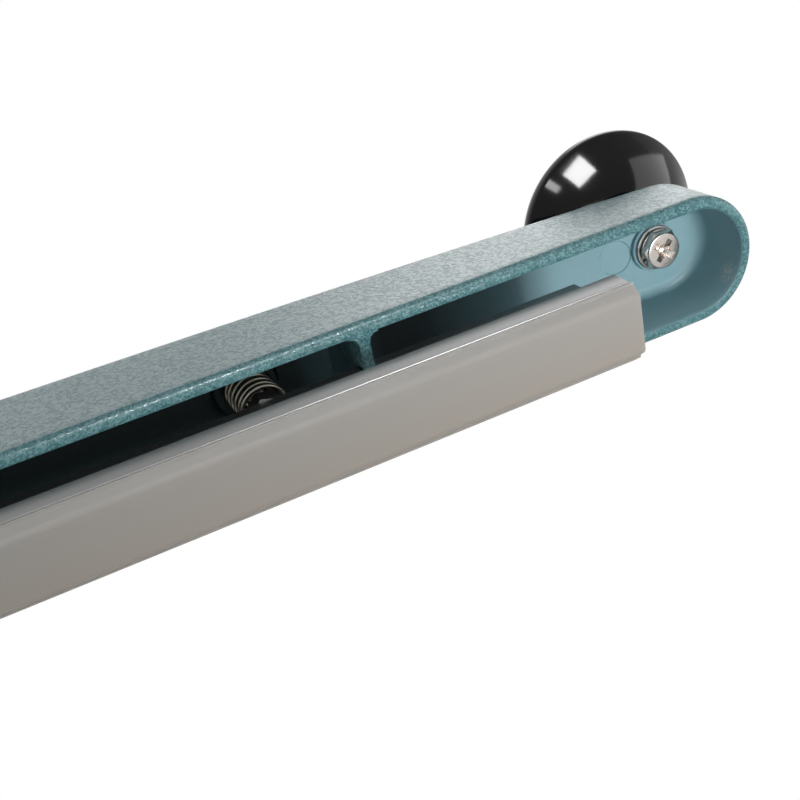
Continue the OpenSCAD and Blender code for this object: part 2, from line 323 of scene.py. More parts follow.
# %% [markdown]
# ## Wrinkle enamel on the casting
# The arm is sprayed with a blue-green enamel that shrinks into a fine leathery grain as it
# dries. Outside it is thick and glossy, so its crests catch the light as a grey sheen. Inside
# the channel the coat is thin and nearly smooth. Further back the channel lies in shade, and that
# shade is painted into the colour as near black. The flat rim is mottled and shines in short
# dashes. These could be four materials, but coats run into each other, so the mesh carries three
# values instead and a single finish covers all. Grain is 1 where the coat is thick and 0 inside,
# rim is 1 on the open edge, and deep is 1 where shade is painted into the channel. The grain
# itself is a noise that is read at places bent by another noise. Where it passes its middle value
# it leaves winding lines: the creases between the crests, whose colour is darkened as painted shade.

# %% Enamel
WORN_SPOT = (271.3, 6.4, -7.8)      # inside the round front end, in the frame of the hinge bore


def enamel():
    f = Finish("wrinkle_enamel")
    at = f.place()
    grain, rim, deep = (f.value_of_mesh(name) for name in ("grain", "rim", "deep"))
    warp = f.node("ShaderNodeTexNoise", {}, {"Vector": at, "Scale": 0.7, "Detail": 2.0})["Color"]
    bent = f.node("ShaderNodeVectorMath", {"operation": "MULTIPLY_ADD"},
                  {0: warp, 1: (1.3, 1.3, 1.3), 2: at})["Vector"]
    folds = f.noise(bent, 0.62, 2.0, 0.5)
    off = folds - 0.5
    crease = 1 - (off * off * 220).between(0.0, 1.0)
    fleck = f.noise(at, 1.3, 3.0, 0.6).between(0.40, 0.68)
    cloud = f.noise(at, 0.05, 2.0).between(0.3, 0.7)
    orange_peel = f.noise(at, 0.8, 3.0, 0.6)
    thick = f.blend(fleck, (0.100, 0.190, 0.202), (0.152, 0.250, 0.267))
    speck = f.noise(at, 2.4, 2.0).between(0.40, 0.60)
    mottled = f.blend(speck, (0.042, 0.134, 0.146), (0.124, 0.258, 0.277))
    thick = f.blend(rim * 0.85, thick, mottled)
    # Painted shade: the creases of the grain are painted a darker teal.
    thick = f.blend(crease * (rim * 0.25 + 0.28), thick, (0.022, 0.095, 0.104))
    thin = f.blend(cloud * 0.6 + orange_peel * 0.4, (0.175, 0.310, 0.350), (0.235, 0.385, 0.430))
    # Painted shade: further back in the channel the colour runs to near black.
    thin = f.blend(deep * 0.91, thin, (0.010, 0.016, 0.018))
    from_spot = f.node("ShaderNodeVectorMath", {"operation": "DISTANCE"}, {0: at, 1: WORN_SPOT})["Value"]
    worn = (1 - from_spot.between(1.2, 2.8)) * f.noise(at, 1.2, 3.0, 0.6).between(0.46, 0.56)
    thin = f.blend(worn * 0.9, thin, (0.380, 0.440, 0.450))
    dashes = f.noise(at, 1.5, 2.0).between(0.50, 0.60)
    height = (folds * 1.3 - crease * 0.35 + fleck * 0.25) * grain * (1 - rim * 0.62)
    height = height + orange_peel * (1 - grain) * 0.4
    return f.surface(Base_Color=f.blend(grain, thin, thick), Specular_IOR_Level=0.17,
                     Roughness=0.46 - grain * 0.16 + rim * (0.24 - dashes * 0.40),
                     Normal=f.bump(height, 0.135),
                     Coat_Weight=(1 - crease * 0.45) * (grain * 0.9 + 0.1) * (1 - rim * 0.95),
                     Coat_Roughness=0.30)


ENAMEL = enamel()

# %% [markdown]
# ## Finishes of the small parts
# The knob is a polished resin moulding. The silicone strip is a milky grey rubber that lets
# light a little way in, so it gets some subsurface scattering. The bar is extruded aluminium,
# with faint lines from the die along its length: a noise that is stretched along the arm draws
# them. The other metals could each have a graph of their own, but they differ only in tone,
# polish and the size of their patches, so one function makes them all.

# %% Knob resin, silicone and aluminium
def resin():
    f = Finish("knob_resin")
    at = f.place()
    haze = f.noise(at, 0.35, 3.0)
    return f.surface(Base_Color=f.blend(haze, (0.0014, 0.0014, 0.0020), (0.0030, 0.0030, 0.0038)),
                     Roughness=haze * 0.04 + 0.08, Specular_IOR_Level=0.18,
                     Normal=f.bump(f.noise(at, 0.12, 2.0), 0.05, 0.35))


def silicone():
    """A milky grey that turns a little warmer towards the far side."""
    f = Finish("silicone_rubber")
    at = f.place()
    cloud = f.noise(at, 0.045, 3.0)
    fine = f.noise(at, 5.0, 2.0)
    across = f.node("ShaderNodeSeparateXYZ", {}, {0: at})["Y"].between(-8.0, 8.0)
    tone = f.blend(across * 0.7 + cloud * 0.3, (0.300, 0.292, 0.278), (0.300, 0.272, 0.240))
    return f.surface(Base_Color=tone, Roughness=fine * 0.08 + 0.58, Specular_IOR_Level=0.25,
                     Subsurface_Weight=0.7, Subsurface_Scale=0.002, Subsurface_Radius=(1.0, 0.92, 0.85),
                     Normal=f.bump(fine * 0.3 + cloud * 6, 0.02, 0.5))


def extruded():
    f = Finish("extruded_aluminium")
    at = f.place()
    along = f.node("ShaderNodeVectorMath", {"operation": "MULTIPLY"},
                   {0: at, 1: (0.012, 3.0, 3.0)})["Vector"]
    lines = f.noise(along, 2.2, 3.0, 0.6)
    spots = f.noise(at, 0.9, 3.0).between(0.62, 0.78)
    tone = f.blend(lines * 0.5 + spots * 0.3, (0.215, 0.215, 0.213), (0.165, 0.165, 0.165))
    return f.surface(Base_Color=tone, Metallic=1.0, Roughness=lines * 0.12 + 0.24,
                     Normal=f.bump(lines, 0.03, 0.5))


RESIN, SILICONE, ALUMINIUM = resin(), silicone(), extruded()

# %% Plated screws, zinc washers, spring wire and brass
def plated(name, low, high, rough, scale, depth):
    """A metal whose colour and polish wander a little between two tones."""
    f = Finish(name)
    at = f.place()
    patch = f.noise(at, scale, 3.0)
    return f.surface(Base_Color=f.blend(patch, low, high), Metallic=1.0, Roughness=patch * 0.16 + rough,
                     Normal=f.bump(f.noise(at, scale * 4, 2.0), depth, 0.6))


NICKEL = plated("bright_nickel", (0.54, 0.49, 0.45), (0.66, 0.61, 0.57), 0.14, 1.2, 0.02)
ZINC = plated("dull_zinc", (0.19, 0.19, 0.19), (0.30, 0.30, 0.29), 0.34, 0.9, 0.03)
WIRE = plated("spring_wire", (0.40, 0.37, 0.30), (0.56, 0.52, 0.43), 0.26, 1.6, 0.02)
# Black oxide for the spring nuts, also kept this dark as painted shade inside each spring.
BLACK_OXIDE_AND_SHADE = plated("black_oxide_and_shade", (0.030, 0.031, 0.033), (0.060, 0.061, 0.063), 0.36, 0.9, 0.03)
BRASS = plated("turned_brass", (0.60, 0.43, 0.18), (0.74, 0.55, 0.26), 0.24, 1.0, 0.02)

# %% [markdown]
# ## The casting
# The real arm is die cast in one piece, with walls of 2.5 mm that lean a little so that it
# leaves the die. The shell is one grid. Its rows run along the arm and round the end, and its
# columns run across the wall: from the middle of the top, over the edge, down outside, round
# the rim, up inside and back along the underside of the web. A grid keeps the arch, the drafted
# walls and both fillets smooth, which a boolean of simple solids would not. The rear ends of
# the rows follow the ear's outline.

# %% Columns across the wall
DRAFT, INNER_DRAFT = 0.45, 0.25     # how far the faces of the wall lean over its height
TOP_R, RIM_R, LIP_R = 2.0, 1.5, 0.55    # edges of the top, of the rim outside and inside
WEB_T, WALL_T, FILLET = 2.2, 2.5, 2.2   # the web, the wall at the rim, the fillet between them
NEAR_RIM = 0.985    # one more column close to the rim keeps the wall's shading flat above it


def wall_columns():
    """(inset from the outer face, height share of the top, height offset) for every column."""
    cols = [(d, 1.0, 0.0) for d in np.linspace(ARM_R, DRAFT + TOP_R, 9)[:-1]]
    cols += [(DRAFT + TOP_R - TOP_R * math.sin(a), 1.0, TOP_R * (math.cos(a) - 1))
             for a in np.linspace(0, math.pi / 2, 9)]
    for t in (*np.linspace(0, 1, 12)[1:-1], NEAR_RIM):
        cols.append((DRAFT * (1 - t), 1 - t, -TOP_R * (1 - t) + RIM_R * t))
    cols += [(RIM_R - RIM_R * math.cos(a), 0.0, RIM_R * (1 - math.sin(a)))
             for a in np.linspace(0, math.pi / 2, 9)]
    cols += [(WALL_T - LIP_R + LIP_R * math.sin(a), 0.0, LIP_R * (1 - math.cos(a)))
             for a in np.linspace(0, math.pi / 2, 5)]
    for t in np.linspace(0, 1, 12)[1:-1]:
        cols.append((WALL_T + INNER_DRAFT * t, t, (-WEB_T - FILLET) * t + LIP_R * (1 - t)))
    wall = WALL_T + INNER_DRAFT
    cols += [(wall + FILLET * (1 - math.cos(a)), 1.0, -WEB_T - FILLET * (1 - math.sin(a)))
             for a in np.linspace(0, math.pi / 2, 9)]
    cols += [(d, 1.0, -WEB_T) for d in np.linspace(wall + FILLET, ARM_R, 9)[1:]]
    return cols


COLUMNS = wall_columns()
print(len(COLUMNS), "columns across the wall")

# %% Rows along the arm
EAR_R, HINGE_UP, REAR_R = 11.0, 11.0, 10.0      # the ear, its centre's height, its top corner


def rear_x(z):
    """Where the ear ends at a height above the rim, as it is seen from the side."""
    if z < HINGE_UP:
        return -math.sqrt(max(0.0, EAR_R ** 2 - (HINGE_UP - z) ** 2))
    low = CREST - REAR_R
    if z < low:
        return -EAR_R
    return REAR_R - EAR_R - math.sqrt(max(0.0, REAR_R ** 2 - (z - low) ** 2))


def shell_rows(straight=110, turn=56):
    """Every point of the shell, row by row, from the rear of one side to the rear of the other."""
    rows = []
    for side in (-1, 1):
        part = []
        for i in range(straight + 1):
            row = []
            for inset, share, offset in COLUMNS:
                z = share * CREST + offset
                start = rear_x(z)
                x = start + (END_X - start) * i / straight
                row.append((x, side * (ARM_R - inset), share * float(top_z(x)) + offset))
            part.append(row)
        rows.append(part)
    bend = []
    for a in np.linspace(-math.pi / 2, math.pi / 2, turn + 1)[1:-1]:
        row = []
        for inset, share, offset in COLUMNS:
            r = ARM_R - inset
            x = END_X + r * math.cos(a)
            row.append((x, r * math.sin(a), share * float(top_z(x)) + offset))
        bend.append(row)
    return rows[0] + bend + rows[1][::-1]


def shell():
    """The grid, with its two open rear ends closed by quads from the outer to the inner face."""
    rows = shell_rows()
    cols = len(COLUMNS)
    points = [p for row in rows for p in row]
    faces = grid_faces(len(rows), cols)
    for row in (0, len(rows) - 1):
        ends = [row * cols + c for c in range(cols)]
        for c in range((cols - 1) // 2):
            around = [ends[c], ends[c + 1], ends[cols - 2 - c], ends[cols - 1 - c]]
            faces.append(list(dict.fromkeys(around)))
    return piece("arm_shell", points, faces)


ARM = shell()
print("shell faces", len(ARM.data.polygons))

# %% [markdown]
# ## Ribs, bosses, pads and holes
# The features that a moulder would put into the tool are small solids of their own here. They
# are joined to the shell or cut out of it with exact booleans. Their fillets and chamfers are
# part of their profiles, so no bevel has to find its way over the dense grid afterwards.

# %% Cross rib
def rib(x):
    """A rib across the channel, filleted to both walls, with a notch for the bar's spine."""
    t, flare, wall = 1.2, 2.1, ARM_R - WALL_T - 0.1     # half its web, its fillet, the wall
    half = [(flare + t, wall + 0.9), (flare + t, wall)]
    half += [(t + flare * (1 - math.sin(a)), wall - flare * (1 - math.cos(a)))
             for a in np.linspace(0, math.pi / 2, 9)][1:]
    outline = half + [(px, -py) for px, py in half[::-1]]
    outline += [(-px, -py) for px, py in half] + [(-px, py) for px, py in half[::-1]]
    # The foot is rounded, and it ends just above the rim, so that no faces share a plane.
    levels = [(0.03, 0.30), (0.15, 0.10), (0.38, 0.0), (float(top_z(x)) - 1.2, 0.0)]
    points, n = [], len(outline)
    for z, inset in levels:
        points += [(x + math.copysign(max(abs(px) - inset, 0.3), px), py, z) for px, py in outline]
    faces = grid_faces(len(levels), n, wrap=True)
    faces += [list(range(n)), list(range((len(levels) - 1) * n, len(levels) * n))]
    side, roof = 4.35, 8.8
    notch = rounded([(-side, -2), (side, -2), (side, roof), (-side, roof)], [0, 0, 1, 1])
    return carve(piece("rib", points, faces), [drawn("notch", [notch], x - 5, x + 5)])


# %% Bosses and pads, and the cutters for the holes
def boss(x):
    """The spring's seat, hanging from the web with a fillet where it meets it."""
    web = float(top_z(x)) - WEB_T
    profile = [(0, SPRING_SEAT), (6.4, SPRING_SEAT)] + arc(6.4, SPRING_SEAT + 0.4, 0.4, -90, 0)[1:]
    profile += [(6.8, web - 1.6)] + arc(8.4, web - 1.6, 1.6, 180, 90)[1:]
    return turned("boss", profile + [(8.4, web + 0.8), (0, web + 0.8)], x)


def knob_pad():
    """The knob's seat, which starts inside the web and stands out of its slope."""
    profile = [(0, 16.1), (9.9, 16.1), (9.9, 16.3)] + arc(9.9, 17.2, 0.9, 270, 180)[1:]
    profile += [(9.0, PAD_Z - 0.5)] + arc(8.5, PAD_Z - 0.5, 0.5, 0, 90)[1:]
    return turned("knob_pad", profile + [(0, PAD_Z)], KNOB_X)


def screw_pad():
    """A level seat under the sloping web for the knob's screw."""
    profile = [(0, SCREW_PAD_Z), (5.3, SCREW_PAD_Z), (5.5, SCREW_PAD_Z + 0.2), (5.5, 15.9), (0, 15.9)]
    return turned("screw_pad", profile, KNOB_X)


def head_pocket(x):
    """The cutter for a guide screw's pocket, with a rounded mouth on top of the arm."""
    top = float(top_z(x))
    profile = [(0, POCKET_Z), (5.0, POCKET_Z)] + arc(5.0, POCKET_Z + 0.4, 0.4, -90, 0)[1:]
    profile += [(5.4, top - 0.6)] + arc(6.0, top - 0.6, 0.6, 180, 90)[1:]
    return turned("head_pocket", profile + [(6.4, top + 0.3), (0, top + 0.3)], x)


def clear_hole(x, r, low, high):
    return turned("clear_hole", [(0, low), (r, low), (r, high), (0, high)], x, steps=64)


def hinge_hole():
    """The bore across both ears, with a chamfer at each face."""
    bore, mouth, face = 4.05, 4.75, 13.9
    half = [(bore, face - 0.7), (mouth, face), (mouth, face + 2.1), (0, face + 2.1)]
    profile = [(r, -z) for r, z in half[::-1]] + half
    hole = turned("hinge_hole", profile)
    hole.data.transform(Matrix.Translation((0, 0, -RIM_Z * MM)))
    hole.data.transform(Matrix.Rotation(math.radians(90), 4, "X"))
    return hole


def ejector_mark():
    """The shallow round that the ejector pin leaves, square to the sloping web."""
    x, r, deep = 251.6, 3.72, 0.22
    slope = math.asin(x / ARCH_R)
    z = float(top_z(x)) - WEB_T
    profile = [(0, -0.5), (r + 0.48, -0.5), (r + 0.23, 0.0), (r, deep), (0, deep)]
    disc = turned("ejector_mark", profile, angle=60)
    disc.data.transform(Matrix.Translation((0, 0, -RIM_Z * MM)))
    disc.data.transform(Matrix.Rotation(slope, 4, "Y"))
    disc.data.transform(Matrix.Translation((x * MM, 0, (z + RIM_Z) * MM)))
    return disc


# %% Put the casting together
carve(ARM, [rib(x) for x in RIB_X] + [boss(x) for x in GUIDE_X] + [knob_pad(), screw_pad()], "UNION")
carve(ARM, [head_pocket(x) for x in GUIDE_X] + [clear_hole(x, HOLE_R, 15, 26) for x in GUIDE_X]
      + [clear_hole(KNOB_X, HOLE_R, 12, 21), hinge_hole(), ejector_mark()])
print("casting faces", len(ARM.data.polygons))

# %% Where the coat is thick or mottled, and where shade is painted into the channel
SHADE_PAINTED_FROM = 225.0   # painted shade starts here in the channel and is full 20 mm further back
RIM_TOP = 1.9       # up to here the outside counts as rim


def rise(value, start, length):
    """0 up to start, then a straight rise to 1 over a length."""
    return np.clip((value - start) / length, 0, 1)


def mark_coat(thing):
    """Writes the values grain, rim and deep, which the enamel reads, at every point."""
    co = np.array([v.co for v in thing.data.vertices]) / MM
    x, y, z = co[:, 0], co[:, 1], co[:, 2] - RIM_Z
    from_middle = np.where(x > END_X, np.hypot(x - END_X, y), abs(y))
    under_web = z < top_z(np.clip(x, 0, END_X + ARM_R)) - 1.0
    from_rib = np.min([abs(x - rib_x) for rib_x in RIB_X], axis=0)
    clear_of_foot = (from_rib > 3.4) | (z > 9)      # the foot of a rib has the thick coat
    inside = (from_middle < ARM_R - WALL_T + INNER_DRAFT) & (z > 0.2) & under_web & clear_of_foot
    values = {"grain": np.where(inside, 0.0, 1.0),
              "rim": rise(-z, -RIM_TOP, 0.3),
              # deep is painted shade: strongest further back, higher up and away from the ribs.
              "deep": rise(-x, -SHADE_PAINTED_FROM, 20) * rise(z, 4, 6) * rise(from_rib, 2.5, 7) * inside}
    for name, value in values.items():
        field = thing.data.attributes.new(name, "FLOAT", "POINT")
        field.data.foreach_set("value", value.astype(np.float32))
    print("grain 0 on", int(inside.sum()), "of", len(inside), "points")


mark_coat(ARM)
ARM.name = "arm_enamelled"
fit(ARM, "arm", ["arm_casting"], ENAMEL)

# %% [markdown]
# ## The knob
# The knob is a flattened ball on a short neck, moulded round a brass insert. Its outline is
# drawn once and turned about the axis, with more points where it bends, because a polished
# surface shows every flat.

# %% Knob
def knob_outline():
    """(radius, height) from the hole for the insert, over foot, neck and brim, to the crown."""
    brim_r, neck_r, brim_z, top = 22.3, 7.7, 13.5, 24.0
    hole_r, hole_top, foot_r = 4.05, 14.0, 8.2
    out = [(0, hole_top), (hole_r, hole_top), (hole_r, 0.0), (foot_r, 0.0)]
    out += arc(foot_r, 0.3, 0.3, -90, 0)[1:] + [(foot_r + 0.3, 1.3)] + arc(foot_r, 1.3, 0.3, 0, 90)[1:]
    out += [(neck_r + 0.5, 1.6)] + arc(neck_r + 0.4, 2.0, 0.4, 270, 180)[1:] + [(neck_r, 3.4)]
    edge_r, slope, bend = 1.1, 0.20, 0.0303
    first, last = 8.2, brim_r - edge_r * (1 - math.sin(math.radians(48)))
    out += [(r, 4 + slope * (r - 8) + bend * (r - 8) ** 2) for r in np.linspace(first, last, 36)]
    out += arc(brim_r - edge_r, brim_z, edge_r, -42, 0, 6)[1:]
    out += [(brim_r * math.cos(a), brim_z + (top - brim_z) * math.sin(a))
            for a in np.linspace(0, math.pi / 2, 40)][1:-1] + [(0, top)]
    return [(r, z + PAD_Z) for r, z in out]


fit(turned("knob_ball", knob_outline(), KNOB_X, steps=160), "arm", ["knob"], RESIN)

# %% [markdown]
# ## Screws, washers and nuts
# The knob's screw has a hexagonal head whose face is turned down to a round and takes a cross
# screwdriver. The guide screws have pan heads. A bevel on a prism would round its upright edges
# too, so a hexagon with a turned face is made as it is in the shop: the prism is kept only where
# a turned blank also has material. The prism reaches past the blank wherever a face is turned,
# because exact booleans dislike faces that share a plane. Threads are in the mesh, as a radius
# that follows a helix.

# %% Hexagon blanks, cross recess and threads
def hexagon(name, x, low, high, turn):
    """A hexagonal prism, turned by an angle in degrees."""
    r = HEX / math.sqrt(3)
    outline = [(x + r * math.cos(a), r * math.sin(a)) for a in np.radians(np.arange(0, 360, 60) + turn)]
    points = [(px, py, z) for z in (low, high) for px, py in outline]
    return piece(name, points, grid_faces(2, 6, wrap=True) + [list(range(6)), list(range(6, 12))], 20)


def cross_cutter(x, mouth, way, size=4.6, depth=1.5, turn=45.0):
    """Two tapered blades and a cone; way is +1 for a recess that opens downwards."""
    levels = ((-0.6, size / 2 + 0.1, 0.80), (0, size / 2, 0.72), (depth, size * 0.16, 0.36))
    out = []
    for k in (0, 90):
        c, s = math.cos(math.radians(turn + k)), math.sin(math.radians(turn + k))
        points = []
        for z, half, thick in levels:
            for u, v in ((-half, -thick), (half, -thick), (half, thick), (-half, thick)):
                points.append((x + c * u - s * v, s * u + c * v, mouth + way * z))
        out.append(piece("blade", points, grid_faces(3, 4, wrap=True) + [[0, 1, 2, 3], [8, 9, 10, 11]]))
    cone = [(0, mouth - way * 0.6), (1.65, mouth - way * 0.6), (1.6, mouth), (0.9, mouth + way * depth),
            (0, mouth + way * (depth + 0.5))]
    return out + [turned("recess_cone", cone, x, steps=32)]


def threaded(name, x, low, high, r=2.45, pitch=0.8, depth=0.36, steps=36, per_pitch=10):
    """A shank whose radius rises and falls along a helix."""
    heights = np.linspace(low, high, int((high - low) / pitch * per_pitch) + 1)
    points = [(x, 0, low)]
    for z in heights:
        for k in range(steps):
            phase = ((z - low) / pitch - k / steps) % 1.0
            ridge = min(1.0, max(0.0, 1.6 * (1 - abs(2 * phase - 1)) - 0.2))
            fade = min(1.0, (z - low) / 0.8, (high - z) / 0.4 + 0.5)
            q = r - depth * (1 - ridge) - depth * 0.5 * (1 - fade)
            a = 2 * math.pi * k / steps
            points.append((x + q * math.cos(a), q * math.sin(a), z))
    points.append((x, 0, high))
    faces = grid_faces(len(heights), steps, wrap=True, start=1)
    last = len(points) - 1
    for k in range(steps):
        n = (k + 1) % steps
        faces.append([0, 1 + n, 1 + k])
        faces.append([last, last - steps + k, last - steps + n])
    return piece(name, points, faces, 50)


# %% Washers
WASHER_R = (2.65, 5.0)      # inner and outer radius of a flat washer


def ring(name, x, low, high, inner, outer, edge=0.12):
    """A flat washer with slightly rounded edges."""
    section = rounded([(inner, low), (outer, low), (outer, high), (inner, high)], [edge] * 4, 3)
    return turned(name, section + [section[0]], x, steps=80)


def lock_ring(name, x, low, high, inner, outer, gap=14.0, spread=0.16, steps=72):
    """A split ring, whose two ends spring apart; the split is gap degrees wide."""
    thick = high - low - spread
    section = rounded([(inner, 0), (outer, 0), (outer, thick), (inner, thick)], [0.1] * 4, 2)
    turn = np.radians(np.linspace(160 + gap / 2, 520 - gap / 2, steps + 1))
    points = [(x + r * math.cos(a), r * math.sin(a), low + z + spread * i / steps)
              for i, a in enumerate(turn) for r, z in section]
    n = len(section)
    faces = grid_faces(len(turn), n, wrap=True)
    faces += [list(range(n)), list(range(steps * n, (steps + 1) * n))]
    return piece(name, points, faces, 40)


# %% The knob's screw and its washers
FLAT_Z, LOCK_Z, HEAD_Z = SCREW_PAD_Z - 0.8, SCREW_PAD_Z - 1.6, SCREW_PAD_Z - 3.6


def knob_screw():
    """A hexagonal head that points down into the channel, with its shank up in the insert."""
    blank = [(0, HEAD_Z), (3.75, HEAD_Z)] + arc(3.75, HEAD_Z + 0.3, 0.3, -90, -20, 4)[1:]
    blank += [(4.08, HEAD_Z + 0.45), (4.7, HEAD_Z + 0.85), (4.7, LOCK_Z), (0, LOCK_Z)]
    head = carve(hexagon("knob_hex_screw", KNOB_X, HEAD_Z - 0.5, LOCK_Z, 8),
                 [turned("head_blank", blank, KNOB_X)], "INTERSECT")
    carve(head, cross_cutter(KNOB_X, HEAD_Z, 1, size=5.4, depth=1.5, turn=40))
    shank = threaded("shank", KNOB_X, HEAD_Z + 1.8, PAD_Z + 11.0)
    return carve(head, [shank], "UNION", 30)


screw = knob_screw()
lock = lock_ring("knob_lock_ring", KNOB_X, LOCK_Z, FLAT_Z, 2.7, 4.4)
flat = ring("knob_flat_ring", KNOB_X, FLAT_Z, SCREW_PAD_Z, *WASHER_R)
fit(screw, "arm", ["knob_screw"], NICKEL)
fit(lock, "arm", ["knob_lock_washer"], ZINC)
fit(flat, "arm", ["knob_flat_washer"], ZINC)

# The insert is hidden in the knob, so it stays as the CAD model has it and only gets its finish.
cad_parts["knob_insert"].data.materials.clear()
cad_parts["knob_insert"].data.materials.append(BRASS)

# %% Guide screws, their washers and the nuts under the springs
WASHER_TOP = 23.2   # where a guide screw's head rests
SPINE_TOP = 3.8     # top of the bar's spine
TAPPED_R = 2.46     # a hole that a guide screw's thread fills


def guide_screw(name, x):
    """A pan head in its pocket on top of the arm, and a thread down into the spine."""
    base = WASHER_TOP
    profile = [(0, base), (4.45, base)] + arc(4.45, base + 0.15, 0.15, -90, 0, 3)[1:]
    profile += [(4.6, base + 1.6)] + arc(3.0, base + 1.6, 1.6, 0, 90, 8)[1:] + [(0, base + 3.2)]
    head = carve(turned(name, profile, x), cross_cutter(x, base + 3.2, -1, size=4.8, depth=1.6, turn=20))
    return carve(head, [threaded("shank", x, -1.9, base + 0.2)], "UNION", 30)


def spring_nut(name, x):
    """A nut with both faces chamfered, locked on the spine."""
    low, high = SPINE_TOP, SPINE_TOP + 4.0
    blank = [(0, low), (3.9, low), (4.75, low + 0.5), (4.75, high - 0.5), (3.9, high), (0, high)]
    nut = carve(hexagon(name, x, low - 0.5, high + 0.5, 12), [turned("nut_blank", blank, x)], "INTERSECT")
    bore = [(0, low - 1), (3.0, low - 1), (TAPPED_R, low + 0.35), (TAPPED_R, high - 0.35),
            (3.0, high + 1), (0, high + 1)]
    return carve(nut, [turned("nut_bore", bore, x)])


for place, x in zip(("front", "rear"), GUIDE_X):
    screw = guide_screw(f"guide_pan_screw_{place}", x)
    washer = ring(f"guide_ring_{place}", x, POCKET_Z, WASHER_TOP, *WASHER_R)
    nut = spring_nut(f"spring_hex_nut_{place}", x)
    fit(screw, "press_bar", [f"guide_screw_{place}"], NICKEL)
    fit(washer, "arm", [f"guide_washer_{place}"], ZINC)
    fit(nut, "press_bar", [f"spring_nut_{place}"], BLACK_OXIDE_AND_SHADE)

# %% [markdown]
# ## The springs
# Each spring is a wire swept along a helix, with one closed turn at either end that is ground
# flat. A curve with a round bevel would give the helix too, but not the flats, so the points are
# worked out here and the ground faces come from holding their height between the two seats. The
# bar slides up against the spring. The piece rides on the arm and has a mesh of its own.

# %% Compression spring
SPRING_LOW, SPRING_HIGH = 7.83, 19.97       # a hair clear of the nut and of the seat


def spring(name, x, wire=1.15, outer=10.2, open_turns=4, start=0.9, steps=40, sides=14):
    """outer is the coil's diameter, and start the angle of the wire's lower end in radians."""
    turns = open_turns + 2
    low, high = SPRING_LOW + wire / 2, SPRING_HIGH - wire / 2
    pitch = (high - low - 2 * wire) / open_turns
    coil_r = (outer - wire) / 2

    def climb(t):
        """How far the wire has risen after t turns."""
        if t < 1:
            return wire * t
        return wire + pitch * (t - 1) if t < turns - 1 else high - low - wire * (turns - t)

    count, points = turns * steps, []
    for i in range(count + 1):
        t = i / steps
        a = 2 * math.pi * t + start
        for k in range(sides):
            b = 2 * math.pi * k / sides
            r = coil_r + wire / 2 * math.cos(b)
            z = low + climb(t) + wire / 2 * math.sin(b)
            points.append((x + r * math.cos(a), r * math.sin(a), min(max(z, SPRING_LOW), SPRING_HIGH)))
    faces = grid_faces(count + 1, sides, wrap=True)
    faces += [list(range(sides)), list(range(count * sides, (count + 1) * sides))]
    return piece(name, points, faces, 50)


for place, x in zip(("front", "rear"), GUIDE_X):
    coil = spring(f"spring_coil_{place}", x)
    fit(coil, "arm", [f"spring_{place}"], WIRE)
    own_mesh(coil)

# %% [markdown]
# ## The pressing bar and its strip
# The holder is an aluminium extrusion: a shallow channel whose lips grip the strip, with a
# hollow spine on its back. The strip is extruded rubber. Both are a section drawn along the arm,
# as the real ones are pressed through a die, so its tiny radii are in the section and run the
# full length, where they catch the light as thin lines. A block with a bevel would lack the lips
# and the groove. At the front end the spine stops a little before the channel does.

# %% Holder
HANG = -7.5             # back of the channel
HOLDER_Z = HANG - 5.1   # the edges of its lips
SPINE_SHORT = 2.8       # how much the spine is shorter than the channel at the front


def holder_loops():
    """The outline of the section and the hollow in its spine."""
    w, t, lip, mouth, spine = 8.6, 1.2, 0.6, 6.8, 4
    outer = [(-w, HOLDER_Z), (-mouth, HOLDER_Z), (-mouth, HOLDER_Z + lip), (-w + t, HOLDER_Z + lip),
             (-w + t, HANG - t), (w - t, HANG - t), (w - t, HOLDER_Z + lip), (mouth, HOLDER_Z + lip),
             (mouth, HOLDER_Z), (w, HOLDER_Z), (w, HANG), (spine, HANG), (spine, SPINE_TOP),
             (-spine, SPINE_TOP), (-spine, HANG), (-w, HANG)]
    radii = [0.2, 0.15] + [0.1] * 6 + [0.15, 0.2] + [0.3] * 6
    hollow = [(-2.7, HANG + 1.3), (2.7, HANG + 1.3), (2.7, -0.4), (-2.7, -0.4)]
    return [rounded(outer, radii), rounded(hollow, [0.5] * 4)[::-1]]


HOLDER = drawn("bar_extrusion", holder_loops(), *BAR_X, angle=25)
around_spine = [(-5, HANG + 0.01), (5, HANG + 0.01), (5, SPINE_TOP + 2.2), (-5, SPINE_TOP + 2.2)]
cutback = drawn("cutback", [around_spine], BAR_X[1] - SPINE_SHORT, BAR_X[1] + 2)
carve(HOLDER, [clear_hole(x, TAPPED_R, -2.0, 6.0) for x in GUIDE_X] + [cutback], angle=25)
fit(HOLDER, "press_bar", ["bar_holder"], ALUMINIUM)

# %% Strip
def strip_loop():
    """The strip's section: a face with soft shoulders, a thin flange over the lips, and a root."""
    face, flange = HOLDER_Z - 2.4, HOLDER_Z - 0.35
    base, mouth, wide, over_lip = 7.35, 6.75, 8.3, HOLDER_Z + 0.65
    half = [(mouth - 0.6, face), (mouth + 0.9, flange), (wide, flange), (wide, HOLDER_Z - 0.01),
            (mouth, HOLDER_Z - 0.01), (mouth, over_lip), (base, over_lip), (base, HANG - 1.25)]
    radii = [1.9, 1.2, 0.16, 0.1, 0, 0, 0.2, 0.3]
    return rounded(half + [(-y, z) for y, z in half[::-1]], radii + radii[::-1], 8)


STRIP_OVER = 0.8        # how far the strip stands out of the holder at the front
STRIP = drawn("silicone_pad", [strip_loop()], BAR_X[0], BAR_X[1] + STRIP_OVER, stations=120, angle=40)
fit(STRIP, "press_bar", ["silicone_strip"], SILICONE)

# %% [markdown]
# ## Camera, floor and lamps
# The photograph looks up at the arm from below its near side, so the camera stands there too.
# Its place and lens were found by fitting the model's outline to the photograph. A pale floor
# lies well below the camera. To rays from the camera, off a gloss or through glass the backdrop
# is white, as on the photograph. To all others it is dim, so that the lamps model the forms.

# %% Camera
CAMERA_AT = (0.11803, -0.10945, -0.21405)
